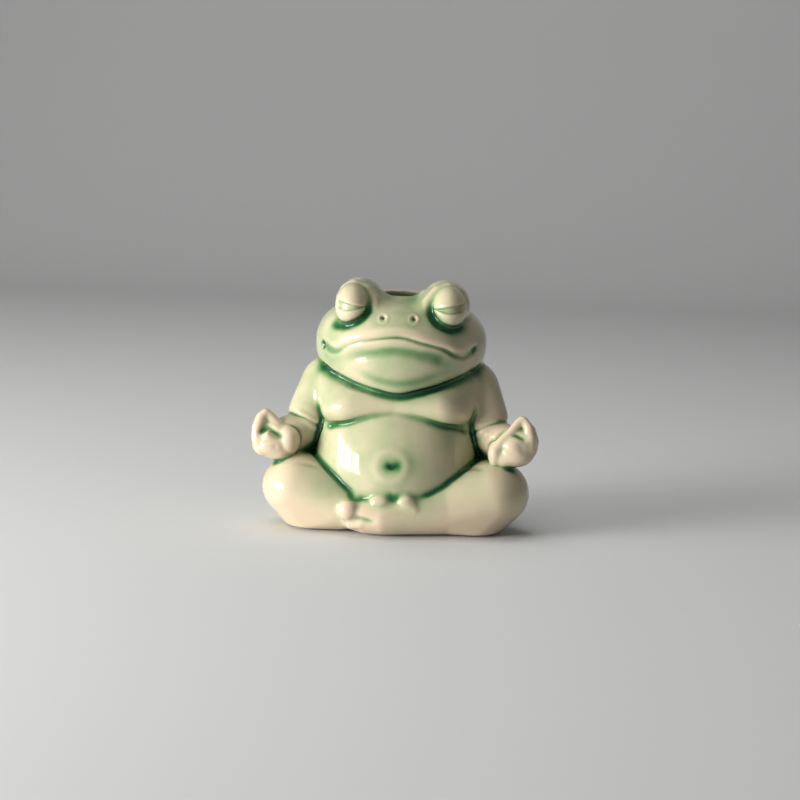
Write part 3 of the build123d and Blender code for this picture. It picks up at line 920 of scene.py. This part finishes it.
def close_edges(bm):
    """Take out the faces at each edge that hasn't two, and fill the holes."""
    on_skin = bm.faces.layers.bool["outside"]
    for turn in range(8):
        wrong = [edge for edge in bm.edges if len(edge.link_faces) != 2]
        if not wrong:
            break
        spoiled = {face for edge in wrong for face in edge.link_faces}
        if turn > 1:
            spoiled = {face for edge in wrong for vert in edge.verts for face in vert.link_faces}
        bmesh.ops.delete(bm, geom=list(spoiled), context="FACES")
        bare = [edge for edge in bm.edges if not edge.link_faces]
        bmesh.ops.delete(bm, geom=bare, context="EDGES")
        rims = [edge for edge in bm.edges if len(edge.link_faces) == 1]
        patches = bmesh.ops.holes_fill(bm, edges=rims, sides=0)["faces"]
        for face in patches:
            around = [other for edge in face.edges for other in edge.link_faces if other is not face]
            face[on_skin] = 2 * sum(other[on_skin] for other in around) > len(around)
        bmesh.ops.triangulate(bm, faces=patches)


def drop_scraps(bm):
    """Keep only the largest island of a mesh."""
    bm.verts.index_update()
    seen = np.zeros(len(bm.verts), bool)
    islands = []
    for start in bm.verts:
        if seen[start.index]:
            continue
        seen[start.index] = True
        island, ahead = [], [start]
        while ahead:
            vert = ahead.pop()
            island.append(vert)
            for edge in vert.link_edges:
                other = edge.other_vert(vert)
                if not seen[other.index]:
                    seen[other.index] = True
                    ahead.append(other)
        islands.append(island)
    islands.sort(key=len)
    bmesh.ops.delete(bm, geom=[vert for island in islands[:-1] for vert in island], context="VERTS")


def mend(mesh):
    """After its cuts a piece has no hair-thin flaps, no open edges and no loose scraps."""
    bm = bmesh.new()
    bm.from_mesh(mesh)
    bmesh.ops.remove_doubles(bm, verts=bm.verts[:], dist=hair)
    bmesh.ops.dissolve_degenerate(bm, edges=bm.edges[:], dist=hair)
    bmesh.ops.triangulate(bm, faces=bm.faces[:])
    close_edges(bm)
    drop_scraps(bm)
    bm.to_mesh(mesh)
    bm.free()


def keep_seams_crisp(mesh):
    """Where a piece was parted from its neighbour, its outside isn't shaded into its joint face."""
    mesh.shade_smooth()
    mesh.set_sharp_from_angle(angle=seam_angle)
    on_skin = read(mesh.attributes["outside"].data, "value", bool)
    corners = read(mesh.polygons, "loop_total", np.int32)
    edges = read(mesh.loops, "edge_index", np.int32)
    around = np.bincount(edges, minlength=len(mesh.edges))
    skin_around = np.bincount(edges, weights=np.repeat(on_skin, corners), minlength=len(mesh.edges))
    seams = (skin_around > 0) & (skin_around < around)
    crisp = mesh.attributes.get("sharp_edge") or mesh.attributes.new("sharp_edge", "BOOLEAN", "EDGE")
    crisp.data.foreach_set("value", read(crisp.data, "value", bool) | seams)
    ends = read(mesh.edges, "vertices", np.int32, 2)
    carry_glaze(mesh, ends[seams], ends[skin_around == around])


def carry_glaze(mesh, seams, outer):
    """The glaze runs up to a seam as deep as it stands beside it."""
    attribute = mesh.attributes["glaze_depth_and_painted_shade"]
    depth = read(attribute.data, "value", np.float32)
    unknown = np.zeros(len(depth), bool)
    unknown[seams.ravel()] = True
    both_ways = np.concatenate((outer, outer[:, ::-1]))
    for turn in range(3):
        pairs = both_ways[unknown[both_ways[:, 0]] & ~unknown[both_ways[:, 1]]]
        count = np.bincount(pairs[:, 0], minlength=len(depth))
        total = np.bincount(pairs[:, 0], weights=depth[pairs[:, 1]], minlength=len(depth))
        depth = np.where(count > 0, total / np.maximum(count, 1), depth)
        unknown &= count == 0
    attribute.data.foreach_set("value", depth.astype(np.float32))


glaze_material = celadon()
outside = skin.data.attributes.new("outside", "BOOLEAN", "FACE")
outside.data.foreach_set("value", np.ones(len(skin.data.polygons), bool))
grown = frog_lumps(cutter_growth)
trunk_cutter = grown.pop("trunk")
for part in trunk_cutter:
    part.free()

# All clay above the neck belongs to the head
above_the_neck = bmesh.new()
drum(above_the_neck, middle=(0, 0, 75), radius=34, length=30, segments=64)
grown["head"].append(above_the_neck)
pieces = part_skin(grown)
hollow_out(pieces)

for name, piece in pieces.items():
    piece.name = f"{name}_glazed"
    mend(piece.data)
    if thinned(piece):
        mend(piece.data)
    piece.data.transform(Matrix.Scale(millimetre, 4))
    keep_seams_crisp(piece.data)
    piece.data.materials.clear()
    piece.data.materials.append(glaze_material)
    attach(piece, "root")
    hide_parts(name)


# Camera: where the photograph looks from, in millimetres
def place_camera():
    """A camera a long way off, a little to the frog's left and above it, tipped by a small roll."""
    look_at = Vector((0.0, -4.0, 38.0))
    azimuth, elevation, roll = math.radians(4.0), math.radians(8.0), 0.031
    distance = 700.0
    offset = (0.47, 0.71)
    right = Vector((math.cos(azimuth), math.sin(azimuth), 0))
    flat = Vector((-math.sin(azimuth), math.cos(azimuth), 0))
    forward = flat * math.cos(elevation) - Vector((0, 0, math.sin(elevation)))
    up = right.cross(forward)
    across = right * math.cos(roll) + up * math.sin(roll)
    upward = up * math.cos(roll) - right * math.sin(roll)
    where = look_at - forward * distance + across * offset[0] + upward * offset[1]
    camera = bpy.data.objects.new("camera", bpy.data.cameras.new("camera"))
    camera.data.lens = 102.7
    camera.data.clip_start = 0.01
    camera.data.clip_end = 20
    basis = Matrix((across, upward, -forward)).transposed().to_4x4()
    camera.matrix_world = Matrix.Translation(where * millimetre) @ basis
    bpy.context.scene.collection.objects.link(camera)
    bpy.context.scene.camera = camera


def light(name, place, aim, size, power, glossy=True):
    """A soft lamp at a place in metres, facing an aim. The glaze mirrors it only where it is glossy."""
    lamp = bpy.data.lights.new(name, "AREA")
    lamp.shape = "RECTANGLE"
    lamp.size, lamp.size_y = size
    lamp.energy = power
    obj = bpy.data.objects.new(name, lamp)
    obj.location = place
    obj.rotation_euler = (Vector(aim) - Vector(place)).to_track_quat("-Z", "Y").to_euler()
    obj.visible_glossy = glossy
    bpy.context.scene.collection.objects.link(obj)


def place_lights():
    """Three panes of a window that the glaze mirrors, a soft key lamp, a soft top lamp and a dim studio."""
    pane_distance = 0.75
    for number, turn in enumerate((-80, -67, -54)):
        stand = Vector((math.sin(math.radians(turn)), -math.cos(math.radians(turn)), 0)) * pane_distance
        light(f"window_lamp_{number}", place=(stand.x, stand.y, 0.11), aim=(0, 0, 0.04), size=(0.13, 0.26),
              power=1.5)
    light("key_lamp", place=(-0.60, -0.44, 0.12), aim=(0, 0, 0.03), size=(0.40, 0.30), power=6.9,
          glossy=False)
    light("top_lamp", place=(-0.15, 0.05, 0.80), aim=(0, 0, 0.04), size=(0.60, 0.50), power=2.6,
          glossy=False)
    world = bpy.data.worlds.new("studio")
    world.use_nodes = True
    background = world.node_tree.nodes["Background"]
    background.inputs["Color"].default_value = (0.85, 0.86, 0.88, 1)
    background.inputs["Strength"].default_value = 0.15
    bpy.context.scene.world = world


def place_floor():
    """A pale sheet in metres that curves up behind the frog."""
    front, flat_length, half_width, bend, rise = -2.0, 2.7, 2.5, 0.6, 1.5
    bm = bmesh.new()
    bm.edges.new([bm.verts.new((across, front, 0)) for across in (-half_width, half_width)])
    made = bmesh.ops.extrude_edge_only(bm, edges=bm.edges[:])["geom"]
    far = [v for v in made if isinstance(v, bmesh.types.BMVert)]
    bmesh.ops.translate(bm, verts=far, vec=(0, flat_length, 0))
    far_edge = [e for e in made if isinstance(e, bmesh.types.BMEdge) and all(v in far for v in e.verts)]
    bmesh.ops.spin(bm, geom=far + far_edge, cent=(0, front + flat_length, bend), axis=(1, 0, 0),
                   angle=math.radians(90), steps=24)
    top = [e for e in bm.edges if all(v.co.z > bend - 0.01 for v in e.verts)]
    made = bmesh.ops.extrude_edge_only(bm, edges=top)["geom"]
    bmesh.ops.translate(bm, verts=[v for v in made if isinstance(v, bmesh.types.BMVert)], vec=(0, 0, rise))
    bmesh.ops.recalc_face_normals(bm, faces=bm.faces[:])
    floor = new_object("floor", bm)
    floor.data.shade_smooth()
    material = bpy.data.materials.new("floor")
    material.use_nodes = True
    shader = material.node_tree.nodes["Principled BSDF"]
    shader.inputs["Base Color"].default_value = (0.72, 0.72, 0.71, 1)
    shader.inputs["Roughness"].default_value = 0.8
    floor.data.materials.append(material)


place_camera()
place_lights()
place_floor()
bpy.context.scene.view_settings.view_transform = "Standard"
